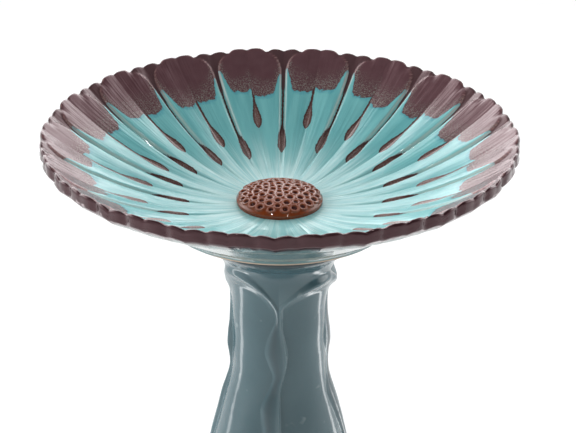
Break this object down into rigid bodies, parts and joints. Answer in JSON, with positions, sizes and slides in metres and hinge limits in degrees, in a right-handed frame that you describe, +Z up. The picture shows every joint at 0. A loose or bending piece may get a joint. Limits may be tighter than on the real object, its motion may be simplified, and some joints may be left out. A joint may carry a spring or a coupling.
{
  "type": "bird bath",
  "caption": "Daisy-shaped glazed ceramic bowl resting loose on a hollow ribbed pedestal, with a cushion ring between them and a seed-head disc in the middle of the bowl.",
  "frame": {"origin": "middle of the pedestal's foot, on the ground", "axes": "+Z up along the pedestal's axis, -Y towards the front, +X to the right seen from the front"},
  "size_m": [0.45, 0.45, 0.53],
  "materials": {
    "bowl_glaze": "gloss",
    "seed_glaze": "gloss",
    "cushion_rubber": "matte",
    "pedestal_glaze": "gloss"
  },
  "bodies": {
    "stand": {"pedestal": "pedestal_glaze"},
    "cushion": {"cushion_ring": "cushion_rubber"},
    "dish": {"bowl": "bowl_glaze", "seed_head": "seed_glaze"}
  },
  "joints": [
    {"name": "bowl_turn", "type": "hinge", "parent": "stand", "child": "cushion", "pos_m": [0, 0, 0.438], "axis": [0, 0, 1], "continuous": true},
    {"name": "bowl_lift", "type": "slide", "parent": "cushion", "child": "dish", "axis": [0, 0, 1], "range_m": [0, 0.15]}
  ]
}
